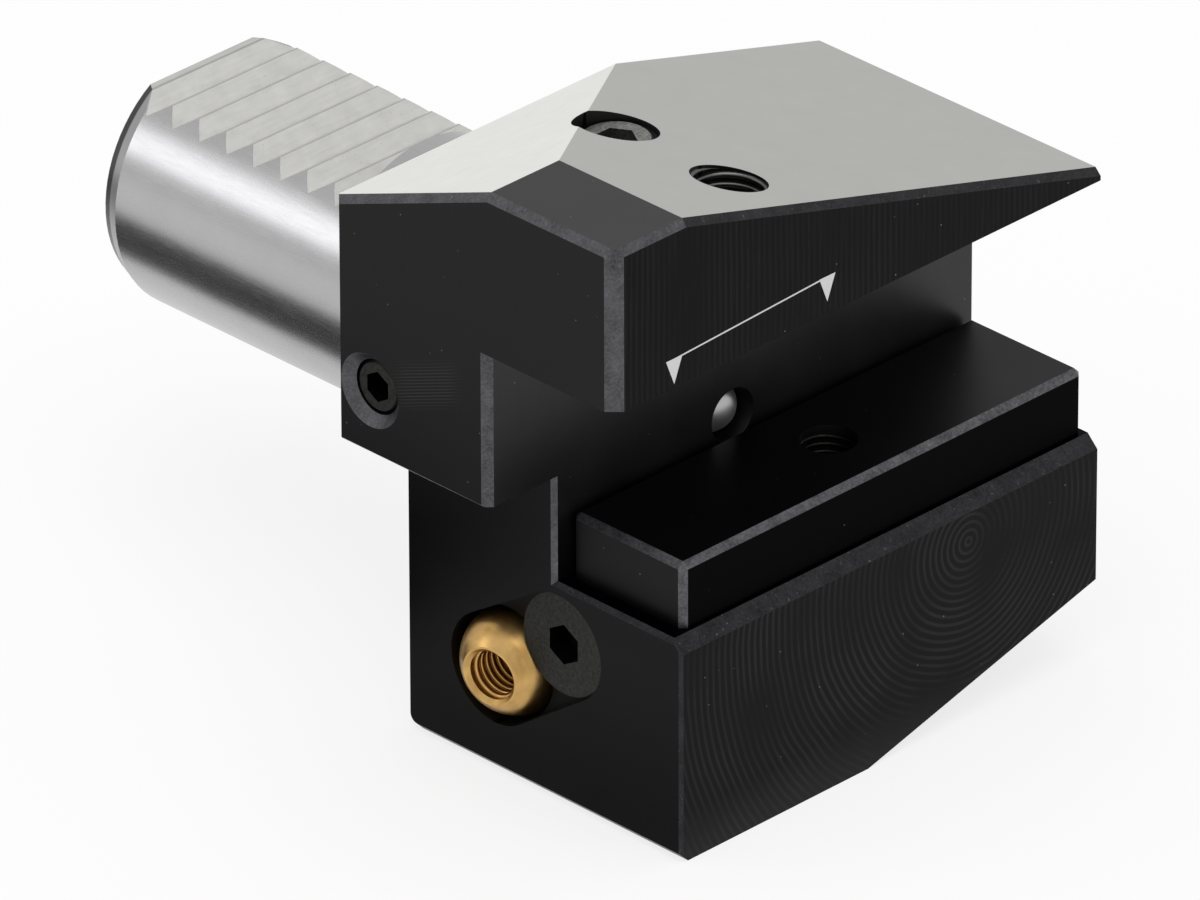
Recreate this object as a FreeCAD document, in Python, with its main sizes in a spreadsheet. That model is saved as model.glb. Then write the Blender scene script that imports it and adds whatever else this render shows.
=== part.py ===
"""Radial tool holder: a block on a serrated 30 mm shank, with a slot for a square tool, a clamping bar that
rises on two screws, a swivelling coolant nozzle, and the plugs and seals of its coolant drillings.

Frame: the origin is the shank's axis at the mating face. +Y runs out along the shank, the block lies on the
-Y side, and +Z is up. Lengths are millimetres.
"""
import FreeCAD, Part
import math
import os
import re
import Sketcher

Vector = FreeCAD.Vector
Rotation = FreeCAD.Rotation

# Driving dimensions
SIZES = {
    # Block, seen from the front: widths from the shank's axis, heights from the shank's axis
    "half_width": 35.0,
    "projection": 40.0,
    "slot_wall_depth": 22.0,
    "seat_height": 20.5,
    "overhang_thickness": 18.2,
    "flange_foot_height": 2.8,
    "lower_left_inset": 9.4,
    "ledge_drop": 9.3,
    "bottom_drop": 34.8,
    "bottom_slope_start": 1.5,
    "bottom_slope_rise": 8.8,
    "ridge_offset": 24.7,
    "tip_thickness": 1.3,
    "back_bevel_drop": 8.5,
    "back_bevel_depth": 22.0,
    # Broken edges of the block
    "front_corner_break": 1.4,
    "top_edge_break": 0.75,
    "left_top_break": 0.8,
    "flange_edge_break": 0.9,
    "ledge_front_break": 1.4,
    "ledge_side_break": 0.5,
    "lower_corner_break": 0.35,
    "wall_corner_break": 0.5,
    "back_edge_break": 1.0,
    "bottom_back_round": 2.0,
    "flange_foot_break": 0.25,
    # Shank
    "shank_radius": 15.0,
    "shank_length": 55.5,
    "shank_end_taper_depth": 0.9,
    "shank_end_taper_length": 2.4,
    "toothed_part_relief": 0.02,
    "tooth_crest_height": 12.0,
    "tooth_pitch": 4.0,
    "tooth_depth": 1.5,
    "tooth_face_run": 1.75,
    "tooth_count": 8,
    "last_crest_inset": 1.0,
    # Clamping bar
    "bar_thickness": 7.5,
    "bar_left_inset": 2.1,
    "bar_right_inset": 0.3,
    "bar_front_inset": 1.8,
    "bar_wall_gap": 0.3,
    "bar_edge_break": 0.7,
    "bar_thread_radius": 3.0,
    # Turned ends of the screws
    "set_screw_mouth_break": 0.4,
    "set_screw_point_break": 0.6,
    "head_screw_break": 0.5,
    # Clamping screws under the bar
    "clamp_screw_radius": 5.0,
    "clamp_screw_point_break": 1.2,
    "clamp_screw_length": 16.0,
    "clamp_screw_spacing": 36.0,
    "clamp_socket": 5.0,
    "clamp_socket_depth": 5.0,
    "thread_clearance": 0.03,
    "bar_seat_clearance": 0.02,
    # Retaining screw of the bar, with its washer and spring
    "retainer_radius": 3.0,
    "retainer_length": 20.0,
    "retainer_head_radius": 5.0,
    "retainer_head_height": 6.0,
    "retainer_socket": 5.0,
    "retainer_socket_depth": 3.0,
    "retainer_thread_depth": 4.1,
    "retainer_hole_clearance": 0.3,
    "retainer_pocket_radius": 6.2,
    "washer_radius": 5.8,
    "washer_thickness": 1.2,
    "washer_hole_clearance": 0.2,
    "spring_length": 9.0,
    "spring_radius": 4.7,
    "spring_wire_radius": 0.5,
    "spring_turns": 4,
    "spring_end_clearance": 0.05,
    # Nozzle ball in the left side of the lower block
    "nozzle_radius": 6.0,
    "nozzle_depth": 3.4,
    "nozzle_back_inset": 13.3,
    "nozzle_drop": 22.8,
    "nozzle_tilt": 9.5,
    "nozzle_face_distance": 5.0,
    "nozzle_thread_radius": 2.7,
    "nozzle_mouth_break": 0.4,
    "nozzle_thread_depth": 6.5,
    "nozzle_feed_radius": 1.8,
    "nozzle_pocket_radius": 6.25,
    "nozzle_pocket_depth": 2.2,
    "nozzle_seal_radius": 4.0,
    "nozzle_seal_section": 1.1,
    "seal_clearance": 0.05,
    # Countersunk screw that holds the ball
    "ball_screw_back_inset": 22.6,
    "ball_screw_drop": 16.55,
    "ball_screw_radius": 3.0,
    "ball_screw_head_radius": 5.7,
    "ball_screw_sink": 0.7,
    "ball_screw_length": 8.0,
    "ball_screw_socket": 4.0,
    "ball_screw_socket_depth": 2.6,
    "ball_screw_recess_radius": 6.0,
    # Coolant valve screw in the flange's left face
    "valve_back_inset": 5.2,
    "valve_height": 10.0,
    "valve_radius": 3.0,
    "valve_length": 10.0,
    "valve_sink": 1.1,
    "valve_mouth_break": 1.1,
    "valve_socket": 3.0,
    "valve_socket_depth": 3.0,
    # Coolant drillings
    "drilling_radius": 2.5,
    "side_drilling_radius": 2.2,
    "upper_inlet_offset": 20.0,
    "nozzle_feed_length": 4.7,
    "top_hole_offset": 10.0,
    "rear_hole_inset": 15.3,
    "front_hole_inset": 31.3,
    "top_hole_radius": 4.0,
    "rear_mouth_radius": 4.5,
    "rear_mouth_depth": 1.7,
    "upper_drilling_rise": 4.7,
    "top_hole_floor_drop": 1.5,
    "drilling_overrun": 2.0,
    "axis_drilling_radius": 3.0,
    # Plugs of the drillings
    "rear_plug_sink": 1.4,
    "rear_plug_gap": 1.9,
    "front_plug_length": 5.0,
    "front_plug_gap": 0.3,
    "plug_socket": 4.0,
    "plug_socket_depth": 2.5,
    "plug_clearance": 0.02,
    "small_plug_radius": 3.0,
    "small_plug_length": 6.0,
    "small_plug_sink": 0.8,
    "small_plug_socket": 3.0,
    "small_plug_socket_depth": 2.5,
    "end_plug_length": 8.0,
    "wall_plug_sink": 0.6,
    # Seal rings
    "flange_seal_section": 1.2,
    "flange_groove_inset": 0.4,
    "face_seal_radius": 3.2,
    "face_seal_section": 0.8,
    "port_seal_radius": 3.5,
    "port_seal_section": 0.8,
    "seal_groove_side_gap": 0.1,
}

SPRING_STEPS_PER_TURN = 16
SPRING_WIRE_SIDES = 8
# How far a cut starts or ends outside the solid
PAST = 1.0
# How close two values are to count as the same
SAME = 1e-4

doc = FreeCAD.newDocument("RadialToolHolder")
sheet = doc.addObject("Spreadsheet::Sheet", "sizes")
for row, (alias, value) in enumerate(SIZES.items(), start=1):
    sheet.set(f"A{row}", alias.replace("_", " "))
    sheet.set(f"B{row}", str(value))
    sheet.setAlias(f"B{row}", alias)
doc.recompute()

PIECES = []

# Places that follow from the driving dimensions
TOP_HEIGHT = "(seat_height + overhang_thickness)"
BEVEL_FOOT = f"({TOP_HEIGHT} - back_bevel_drop)"
LOWER_LEFT = "(half_width - lower_left_inset)"
BAR_TOP = "(bar_thickness - ledge_drop)"
BAR_LEFT = f"(bar_left_inset - {LOWER_LEFT})"
BAR_RIGHT = "(half_width - bar_right_inset)"
BAR_MIDDLE = f"(({BAR_LEFT} + {BAR_RIGHT}) / 2)"
BAR_BACK = "(-slot_wall_depth - bar_wall_gap)"
BAR_FRONT = "(bar_front_inset - projection)"
BAR_CENTRE_LINE = f"(({BAR_BACK} + {BAR_FRONT}) / 2)"
TIP_HEIGHT = "(seat_height + tip_thickness)"
TOP_SLOPE = f"(({TOP_HEIGHT} - {TIP_HEIGHT}) / (half_width + ridge_offset))"
HOLE_MOUTH = f"({TOP_HEIGHT} - (ridge_offset - top_hole_offset) * {TOP_SLOPE})"
UPPER_DRILLING = "(seat_height + upper_drilling_rise)"
TOP_HOLE_FLOOR = f"({UPPER_DRILLING} - top_hole_floor_drop)"
RETAINER_TIP = "(retainer_thread_depth - ledge_drop)"
RETAINER_HEAD_TOP = f"({RETAINER_TIP} - retainer_length)"
WASHER_TOP = f"({RETAINER_HEAD_TOP} + washer_thickness)"
RETAINER_SHOULDER = f"({WASHER_TOP} + spring_length)"
NOZZLE_X = f"(nozzle_depth - {LOWER_LEFT})"
NOZZLE_SEAL_OFFSET = ("(sqrt((nozzle_radius + nozzle_seal_section)^2 - nozzle_seal_radius^2)"
                      " + seal_clearance)")
NOZZLE_SEAT_X = f"({NOZZLE_X} + {NOZZLE_SEAL_OFFSET} + nozzle_seal_section)"
LOWER_INLET = (f"{NOZZLE_SEAT_X} + nozzle_feed_length", "-nozzle_drop")


def tied(words):
    """The expression with each driving dimension's name pointed at the spreadsheet."""
    return re.sub(r"[a-z][a-z_]+", lambda name: "sizes." + name[0] if name[0] in SIZES else name[0], words)


def size(words):
    """The value of an expression of driving dimensions."""
    return float(sheet.evalExpression(tied(words)))


def bind(thing, field, words):
    thing.setExpression(field, tied(words))


# Sketches

def origin_plane(body, role):
    return next(plane for plane in body.Origin.OriginFeatures if plane.Role == role)


def new_sketch(body, name, role, height):
    sketch = body.newObject("Sketcher::SketchObject", name)
    sketch.AttachmentSupport = [(origin_plane(body, role), "")]
    sketch.MapMode = "FlatFace"
    bind(sketch, "AttachmentOffset.Base.z", height)
    return sketch


def hold_point(sketch, edge, end, place):
    """Holds a point of an edge at two named distances from the sketch's origin."""
    for kind, words in zip(("DistanceX", "DistanceY"), place):
        rule = sketch.addConstraint(Sketcher.Constraint(kind, -1, 1, edge, end, size(words)))
        bind(sketch, f"Constraints[{rule}]", words)


def draw_outline(body, name, role, points, height="0"):
    """A closed outline of straight edges on an origin plane, or above it."""
    sketch = new_sketch(body, name, role, height)
    corners = [Vector(size(across), size(up), 0) for across, up in points]
    for here, there in zip(corners, corners[1:] + corners[:1]):
        sketch.addGeometry(Part.LineSegment(here, there), False)
    for edge, place in enumerate(points):
        before = (edge - 1) % len(points)
        sketch.addConstraint(Sketcher.Constraint("Coincident", before, 2, edge, 1))
        hold_point(sketch, edge, 1, place)
    return sketch


def draw_circle(body, name, role, centre, radius, height="0"):
    sketch = new_sketch(body, name, role, height)
    middle = Vector(size(centre[0]), size(centre[1]), 0)
    edge = sketch.addGeometry(Part.Circle(middle, Vector(0, 0, 1), size(radius)), False)
    rule = sketch.addConstraint(Sketcher.Constraint("Radius", edge, size(radius)))
    bind(sketch, f"Constraints[{rule}]", radius)
    hold_point(sketch, edge, 3, centre)
    return sketch


def hexagon_points(across_flats):
    """The corners of a hexagon about the origin, for a socket of the given key size."""
    corners = []
    for step in range(6):
        reach = f"{across_flats} / sqrt(3)"
        corners.append((f"{reach} * cos({60 * step} deg)", f"{reach} * sin({60 * step} deg)"))
    return corners


# Features

def new_body(label):
    body = doc.addObject("PartDesign::Body", label)
    body.Label = label
    PIECES.append(body)
    return body


def pad(body, sketch, name, length, reverse=False):
    feature = body.newObject("PartDesign::Pad", name)
    feature.Profile = sketch
    feature.Reversed = reverse
    bind(feature, "Length", length)
    doc.recompute()
    return feature


def pocket(body, sketch, name, length, reverse=False):
    """Cuts to a named depth. Reverse cuts along the sketch's normal instead of against it."""
    before = body.Shape.Volume
    feature = body.newObject("PartDesign::Pocket", name)
    feature.Profile = sketch
    feature.Reversed = reverse
    bind(feature, "Length", length)
    doc.recompute()
    if body.Shape.Volume >= before:
        raise ValueError(f"{name} cuts nothing")
    return feature


def slot_through(body, sketch, name):
    """Cuts right through, to both sides of the sketch."""
    feature = body.newObject("PartDesign::Pocket", name)
    feature.Profile = sketch
    feature.Type = "ThroughAll"
    feature.Midplane = True
    doc.recompute()
    return feature


def drill(body, name, role, centre, radius, depth, height="0", reverse=False):
    circle = draw_circle(body, name + "_circle", role, centre, radius, height)
    return pocket(body, circle, name, depth, reverse)


def turn(body, name, points):
    """A solid of revolution about the body's own Z axis, from (radius, height) points."""
    sketch = draw_outline(body, name + "_profile", "XZ_Plane", points)
    feature = body.newObject("PartDesign::Revolution", name)
    feature.Profile = sketch
    feature.ReferenceAxis = (sketch, ["V_Axis"])
    feature.Angle = 360
    doc.recompute()
    return feature


def edges_where(shape, test, ends=all):
    """The names of the edges whose ends all pass the test, or any of whose ends does."""
    names = []
    for number, edge in enumerate(shape.Edges, start=1):
        if ends(test(vertex.Point) for vertex in edge.Vertexes):
            names.append(f"Edge{number}")
    return names


def near(value, words):
    return abs(value - size(words)) < SAME


def break_edges(body, name, test, width, ends=all):
    """Chamfers the edges of the body so far that pass the test."""
    base = body.Tip
    names = edges_where(base.Shape, test, ends)
    if not names:
        raise ValueError(f"{name} finds no edge")
    feature = body.newObject("PartDesign::Chamfer", name)
    feature.Base = (base, names)
    bind(feature, "Size", width)
    doc.recompute()
    return feature


def round_edges(body, name, test, radius):
    """Fillets the edges of the body so far that pass the test."""
    base = body.Tip
    names = edges_where(base.Shape, test)
    if not names:
        raise ValueError(f"{name} finds no edge")
    feature = body.newObject("PartDesign::Fillet", name)
    feature.Base = (base, names)
    bind(feature, "Radius", radius)
    doc.recompute()
    return feature


def place(piece, across, along, up, out=(0, 0, 1)):
    """Puts a piece's origin at a named place, with its own Z axis pointing along the given direction."""
    piece.Placement = FreeCAD.Placement(Vector(), Rotation(Vector(0, 0, 1), Vector(*out)))
    bind(piece, "Placement.Base.x", across)
    bind(piece, "Placement.Base.y", along)
    bind(piece, "Placement.Base.z", up)


LEFT = (-1, 0, 0)
RIGHT = (1, 0, 0)
BACK = (0, 1, 0)
UP = (0, 0, 1)
DOWN = (0, 0, -1)


# The block

def build_block(body):
    """The block with its slanted top, its tool slot and the bevel behind its top."""
    front_view = draw_outline(body, "front_view", "XZ_Plane", [
        (f"-{LOWER_LEFT}", "-bottom_drop"),
        ("bottom_slope_start", "-bottom_drop"),
        ("half_width", "bottom_slope_rise - bottom_drop"),
        ("half_width", TIP_HEIGHT),
        ("-ridge_offset", TOP_HEIGHT),
        ("-half_width", TOP_HEIGHT),
        ("-half_width", "flange_foot_height"),
        (f"-{LOWER_LEFT}", "flange_foot_height"),
    ])
    pad(body, front_view, "block", "projection")
    tool_slot = draw_outline(body, "tool_slot_outline", "YZ_Plane", [
        (f"-projection - {PAST}", "-ledge_drop"),
        ("-slot_wall_depth", "-ledge_drop"),
        ("-slot_wall_depth", "seat_height"),
        (f"-projection - {PAST}", "seat_height"),
    ])
    slot_through(body, tool_slot, "tool_slot")
    back_bevel = draw_outline(body, "back_bevel_outline", "YZ_Plane", [
        (f"{PAST}", f"{BEVEL_FOOT} - {PAST} * back_bevel_drop / back_bevel_depth"),
        ("-back_bevel_depth", TOP_HEIGHT),
        ("-back_bevel_depth", f"{TOP_HEIGHT} + {PAST}"),
        (f"{PAST}", f"{TOP_HEIGHT} + {PAST}"),
    ])
    slot_through(body, back_bevel, "back_bevel")


def break_block_edges(body):
    """The worn or ground edges, which differ in width as on the real block."""
    break_edges(body, "front_corner", lambda p: near(p.x, "-half_width") and near(p.y, "-projection"),
                "front_corner_break")
    break_edges(body, "flange_corner", lambda p: near(p.x, "-half_width") and near(p.y, "-slot_wall_depth")
                and p.z < size("seat_height") + SAME, "flange_edge_break")
    break_edges(body, "ledge_front", lambda p: near(p.y, "-projection") and near(p.z, "-ledge_drop"),
                "ledge_front_break")
    break_edges(body, "ledge_side", lambda p: near(p.x, "-" + LOWER_LEFT) and near(p.z, "-ledge_drop"),
                "ledge_side_break")
    break_edges(body, "wall_corner", lambda p: near(p.x, "-" + LOWER_LEFT) and near(p.y, "-slot_wall_depth"),
                "wall_corner_break")
    break_edges(body, "lower_corner", lambda p: near(p.x, "-" + LOWER_LEFT) and near(p.y, "-projection"),
                "lower_corner_break")
    round_edges(body, "bottom_back", lambda p: near(p.y, "0") and near(p.z, "-bottom_drop"),
                "bottom_back_round")
    break_edges(body, "flange_back", lambda p: near(p.x, "-half_width") and near(p.y, "0"), "back_edge_break")
    break_edges(body, "lower_back", lambda p: near(p.x, "-" + LOWER_LEFT)
                and p.y > -size("bottom_back_round") - SAME, "back_edge_break")
    break_edges(body, "flange_foot", lambda p: near(p.x, "-half_width") and near(p.z, "flange_foot_height"),
                "flange_foot_break")
    break_edges(body, "left_top", lambda p: near(p.x, "-half_width") and p.z > size(BEVEL_FOOT),
                "left_top_break")
    break_edges(body, "top_front", on_top_front_edge, "top_edge_break")


def on_top_front_edge(point):
    """Whether a point lies on the front edge of the dark top or of the slanted top."""
    slanted = size(TOP_HEIGHT) - (point.x + size("ridge_offset")) * size(TOP_SLOPE)
    return near(point.y, "-projection") and abs(point.z - min(slanted, size(TOP_HEIGHT))) < SAME


def build_shank(body):
    """The round shank with its toothed flat, and the break at its end."""
    crest = "(shank_length - last_crest_inset)"
    flat_start = f"({crest} - tooth_pitch * tooth_count)"
    seat = draw_circle(body, "shank_seat_circle", "XZ_Plane", ("0", "0"), "shank_radius")
    pad(body, seat, "shank_seat", flat_start, reverse=True)
    toothed_part = draw_circle(body, "toothed_part_circle", "XZ_Plane", ("0", "0"),
                               "shank_radius - toothed_part_relief")
    pad(body, toothed_part, "toothed_part", "shank_length", reverse=True)
    end = break_edges(body, "shank_end", lambda p: near(p.y, "shank_length"), "shank_end_taper_length")
    end.ChamferType = "Two distances"
    bind(end, "Size2", "shank_end_taper_depth")
    doc.recompute()
    flat = draw_outline(body, "flat_outline", "YZ_Plane", [
        (flat_start, "tooth_crest_height"),
        (f"shank_length + {PAST}", "tooth_crest_height"),
        (f"shank_length + {PAST}", f"shank_radius + {PAST}"),
        (flat_start, f"shank_radius + {PAST}"),
    ])
    slot_through(body, flat, "flat")
    gap = draw_outline(body, "tooth_gap_outline", "YZ_Plane", [
        (crest, "tooth_crest_height"),
        (f"{crest} - tooth_face_run", "tooth_crest_height - tooth_depth"),
        (f"{crest} - tooth_pitch", "tooth_crest_height"),
    ])
    first_gap = slot_through(body, gap, "tooth_gap")
    row = body.newObject("PartDesign::LinearPattern", "tooth_row")
    row.Originals = [first_gap]
    row.Direction = (origin_axis(body, "Y_Axis"), [""])
    row.Reversed = True
    bind(row, "Length", "tooth_pitch * (tooth_count - 1)")
    bind(row, "Occurrences", "tooth_count")
    body.Tip = row
    doc.recompute()


def origin_axis(body, role):
    return next(axis for axis in body.Origin.OriginFeatures if axis.Role == role)


def cut_bar_screw_holes(body):
    """The threaded holes of the clamping screws and the stepped hole of the retaining screw."""
    for side, offset in (("left", "-clamp_screw_spacing / 2"), ("right", "clamp_screw_spacing / 2")):
        drill(body, f"clamp_hole_{side}", "XY_Plane", (f"{BAR_MIDDLE} + {offset}", BAR_CENTRE_LINE),
              "clamp_screw_radius + thread_clearance", "bottom_drop", "-ledge_drop")
    drill(body, "retainer_hole", "XY_Plane", (BAR_MIDDLE, BAR_CENTRE_LINE),
          "retainer_radius + retainer_hole_clearance", "bottom_drop", "-ledge_drop")
    drill(body, "retainer_pocket", "XY_Plane", (BAR_MIDDLE, BAR_CENTRE_LINE),
          "retainer_pocket_radius", "bottom_drop", RETAINER_SHOULDER)


def cut_nozzle_pocket(body):
    """The ball's bore, the screw's recess beside it and the shallow pocket that joins them."""
    ball = ("-nozzle_back_inset", "-nozzle_drop")
    screw = ("-ball_screw_back_inset", "-ball_screw_drop")
    face = f"-{LOWER_LEFT}"
    drill(body, "ball_bore", "YZ_Plane", ball, "nozzle_pocket_radius",
          f"{NOZZLE_SEAT_X} + {LOWER_LEFT}", face, reverse=True)
    drill(body, "screw_recess", "YZ_Plane", screw, "ball_screw_recess_radius", "nozzle_pocket_depth", face,
          reverse=True)
    drill(body, "ball_screw_hole", "YZ_Plane", screw, "ball_screw_radius + thread_clearance",
          "ball_screw_sink + ball_screw_length + drilling_overrun", face, reverse=True)
    web = draw_outline(body, "pocket_web_outline", "YZ_Plane", web_points(), face)
    pocket(body, web, "pocket_web", "nozzle_pocket_depth", reverse=True)
    break_edges(body, "screw_countersink", on_screw_hole_mouth,
                "ball_screw_head_radius - ball_screw_radius - nozzle_pocket_depth + ball_screw_sink")


def web_points():
    """The four corners of the pocket between the ball's bore and the screw's recess, on their tangents."""
    run = "(ball_screw_back_inset - nozzle_back_inset)"
    rise = "(nozzle_drop - ball_screw_drop)"
    reach = f"sqrt({run}^2 + {rise}^2)"
    across = f"({rise} / {reach})"
    along = f"({run} / {reach})"
    ball = ("nozzle_pocket_radius", "-nozzle_back_inset", "-nozzle_drop")
    screw = ("ball_screw_recess_radius", "-ball_screw_back_inset", "-ball_screw_drop")
    corners = []
    for sign, (radius, back, drop) in (("+", ball), ("+", screw), ("-", screw), ("-", ball)):
        corners.append((f"{back} {sign} {radius} * {across}", f"{drop} {sign} {radius} * {along}"))
    return corners


def on_screw_hole_mouth(point):
    """Whether a point lies on the edge where the ball screw's hole leaves the pocket's floor."""
    away = math.hypot(point.y + size("ball_screw_back_inset"), point.z + size("ball_screw_drop"))
    on_floor = near(point.x, f"nozzle_pocket_depth - {LOWER_LEFT}")
    return on_floor and abs(away - size("ball_screw_radius + thread_clearance")) < SAME


def on_valve_mouth(point):
    """Whether a point lies on the edge of the valve's hole in the flange's left face."""
    away = math.hypot(point.y + size("valve_back_inset"), point.z - size("valve_height"))
    return near(point.x, "-half_width") and abs(away - size("valve_radius + thread_clearance")) < SAME


def cut_coolant_drillings(body):
    """The inlets in the mating face, the valve's hole, and the drillings up to the tool and to the nozzle."""
    upper_inlet = ("-upper_inlet_offset", "valve_height")
    drill(body, "upper_inlet", "XZ_Plane", upper_inlet, "drilling_radius",
          "rear_hole_inset + drilling_overrun", reverse=True)
    drill(body, "cross_drilling", "YZ_Plane", ("-rear_hole_inset", "valve_height"), "drilling_radius",
          "half_width + upper_inlet_offset", "half_width")
    drill(body, "cross_plug_hole", "YZ_Plane", ("-rear_hole_inset", "valve_height"),
          "small_plug_radius + plug_clearance", "small_plug_sink + small_plug_length", "half_width")
    drill(body, "valve_hole", "YZ_Plane", ("-valve_back_inset", "valve_height"),
          "valve_radius + thread_clearance", "half_width - upper_inlet_offset + drilling_radius",
          "-half_width", reverse=True)
    break_edges(body, "valve_mouth", on_valve_mouth, "valve_mouth_break")
    rear = ("-top_hole_offset", "-rear_hole_inset")
    front = ("-top_hole_offset", "-front_hole_inset")
    drill(body, "rear_top_hole", "XY_Plane", rear, "top_hole_radius + plug_clearance",
          f"{TOP_HEIGHT} - {TOP_HOLE_FLOOR}", TOP_HEIGHT)
    drill(body, "rear_mouth", "XY_Plane", rear, "rear_mouth_radius",
          f"{TOP_HEIGHT} - {HOLE_MOUTH} + rear_mouth_depth", TOP_HEIGHT)
    drill(body, "rear_riser", "XY_Plane", rear, "side_drilling_radius", f"{UPPER_DRILLING} - valve_height",
          UPPER_DRILLING)
    drill(body, "front_top_hole", "XY_Plane", front, "top_hole_radius + plug_clearance",
          f"{TOP_HEIGHT} - {TOP_HOLE_FLOOR}", TOP_HEIGHT)
    drill(body, "tool_port", "XY_Plane", front, "side_drilling_radius", f"upper_drilling_rise + {PAST}",
          UPPER_DRILLING)
    drill(body, "tool_port_groove", "XY_Plane", front,
          "port_seal_radius + port_seal_section + seal_groove_side_gap", "2 * port_seal_section",
          "seat_height", reverse=True)
    upper = ("-top_hole_offset", UPPER_DRILLING)
    drill(body, "upper_drilling", "XZ_Plane", upper, "drilling_radius", "front_hole_inset", reverse=True)
    drill(body, "upper_plug_hole", "XZ_Plane", upper, "small_plug_radius + plug_clearance",
          "small_plug_sink + small_plug_length", reverse=True)
    drill(body, "lower_inlet", "XZ_Plane", LOWER_INLET, "drilling_radius",
          "nozzle_back_inset + drilling_radius", reverse=True)
    drill(body, "nozzle_feed", "YZ_Plane", ("-nozzle_back_inset", "-nozzle_drop"), "side_drilling_radius",
          "nozzle_feed_length", NOZZLE_SEAT_X, reverse=True)
    for name, centre in (("upper_inlet_groove", upper_inlet), ("lower_inlet_groove", LOWER_INLET)):
        drill(body, name, "XZ_Plane", centre, "face_seal_radius + face_seal_section + seal_groove_side_gap",
              "2 * face_seal_section", reverse=True)


def cut_shank_drilling(body):
    """The drilling on the shank's axis, open in the slot's back wall and plugged at both ends."""
    drill(body, "axis_drilling", "XZ_Plane", ("0", "0"), "axis_drilling_radius + plug_clearance",
          "shank_length + slot_wall_depth", "slot_wall_depth")
    drill(body, "end_plug_hole", "XZ_Plane", ("0", "0"), "top_hole_radius + plug_clearance",
          "small_plug_sink + end_plug_length", "-shank_length", reverse=True)


def cut_flange_seal_groove(body):
    """The groove for the ring round the shank, in the mating face."""
    inner_radius = "shank_radius + flange_groove_inset"
    outer = draw_circle(body, "flange_groove_circle", "XZ_Plane", ("0", "0"),
                        f"{inner_radius} + 2 * flange_seal_section + seal_groove_side_gap")
    inner = outer.addGeometry(Part.Circle(Vector(), Vector(0, 0, 1), size(inner_radius)), False)
    rule = outer.addConstraint(Sketcher.Constraint("Radius", inner, size(inner_radius)))
    bind(outer, f"Constraints[{rule}]", inner_radius)
    hold_point(outer, inner, 3, ("0", "0"))
    pocket(body, outer, "flange_groove", "2 * flange_seal_section", reverse=True)


def build_holder_body():
    body = new_body("holder_body")
    build_block(body)
    break_block_edges(body)
    build_shank(body)
    cut_bar_screw_holes(body)
    cut_nozzle_pocket(body)
    cut_coolant_drillings(body)
    cut_shank_drilling(body)
    cut_flange_seal_groove(body)


# The clamping bar and what drives it

def build_clamp_bar():
    """The bar that lies on the ledge and presses the tool up against the overhang."""
    bar = new_body("clamp_bar")
    top_view = draw_outline(bar, "bar_top_view", "XY_Plane", [
        (BAR_LEFT, BAR_FRONT), (BAR_RIGHT, BAR_FRONT), (BAR_RIGHT, BAR_BACK), (BAR_LEFT, BAR_BACK),
    ], BAR_TOP)
    pad(bar, top_view, "bar_block", "bar_thickness - bar_seat_clearance", reverse=True)
    break_edges(bar, "top_and_upright_edges", lambda p: near(p.z, BAR_TOP), "bar_edge_break", ends=any)
    drill(bar, "bar_thread", "XY_Plane", (BAR_MIDDLE, BAR_CENTRE_LINE), "bar_thread_radius + plug_clearance",
          f"bar_thickness + {PAST}", BAR_TOP)
    place(bar, "0", "0", "0")


def socket_screw(label, profile, across_flats, depth):
    """A turned screw whose outer end lies at its own origin, with a hexagon socket cut into that end."""
    screw = new_body(label)
    turn(screw, "turned", profile)
    socket = draw_outline(screw, "socket_outline", "XY_Plane", hexagon_points(across_flats))
    pocket(screw, socket, "socket", depth)
    return screw


def set_screw(label, radius, length, across_flats, depth, point="set_screw_point_break"):
    """A headless screw with broken ends."""
    profile = [
        ("0", "0"), (f"{radius} - set_screw_mouth_break", "0"), (radius, "-set_screw_mouth_break"),
        (radius, f"{point} - {length}"), (f"{radius} - {point}", f"-{length}"), ("0", f"-{length}"),
    ]
    return socket_screw(label, profile, across_flats, depth)


def build_clamp_screws():
    for side, offset in (("left", "-clamp_screw_spacing / 2"), ("right", "clamp_screw_spacing / 2")):
        screw = set_screw(f"clamp_screw_{side}", "clamp_screw_radius", "clamp_screw_length", "clamp_socket",
                          "clamp_socket_depth", point="clamp_screw_point_break")
        place(screw, f"{BAR_MIDDLE} + {offset}", BAR_CENTRE_LINE, "-ledge_drop - clamp_screw_length", DOWN)


def build_bar_retainer():
    """The screw that hangs from the bar, and the washer and spring that draw it down."""
    screw = socket_screw("bar_retaining_screw", [
        ("0", "0"), ("retainer_head_radius - head_screw_break", "0"),
        ("retainer_head_radius", "-head_screw_break"),
        ("retainer_head_radius", "-retainer_head_height"), ("retainer_radius", "-retainer_head_height"),
        ("retainer_radius", "head_screw_break - retainer_head_height - retainer_length"),
        ("retainer_radius - head_screw_break", "-retainer_head_height - retainer_length"),
        ("0", "-retainer_head_height - retainer_length"),
    ], "retainer_socket", "retainer_socket_depth")
    place(screw, BAR_MIDDLE, BAR_CENTRE_LINE, f"{RETAINER_HEAD_TOP} - retainer_head_height", DOWN)
    washer_bore = "retainer_radius + washer_hole_clearance"
    washer = new_body("bar_screw_washer")
    turn(washer, "washer", [
        (washer_bore, "0"), ("washer_radius", "0"),
        ("washer_radius", "washer_thickness"), (washer_bore, "washer_thickness"),
    ])
    place(washer, BAR_MIDDLE, BAR_CENTRE_LINE, RETAINER_HEAD_TOP)
    build_bar_spring()


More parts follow.
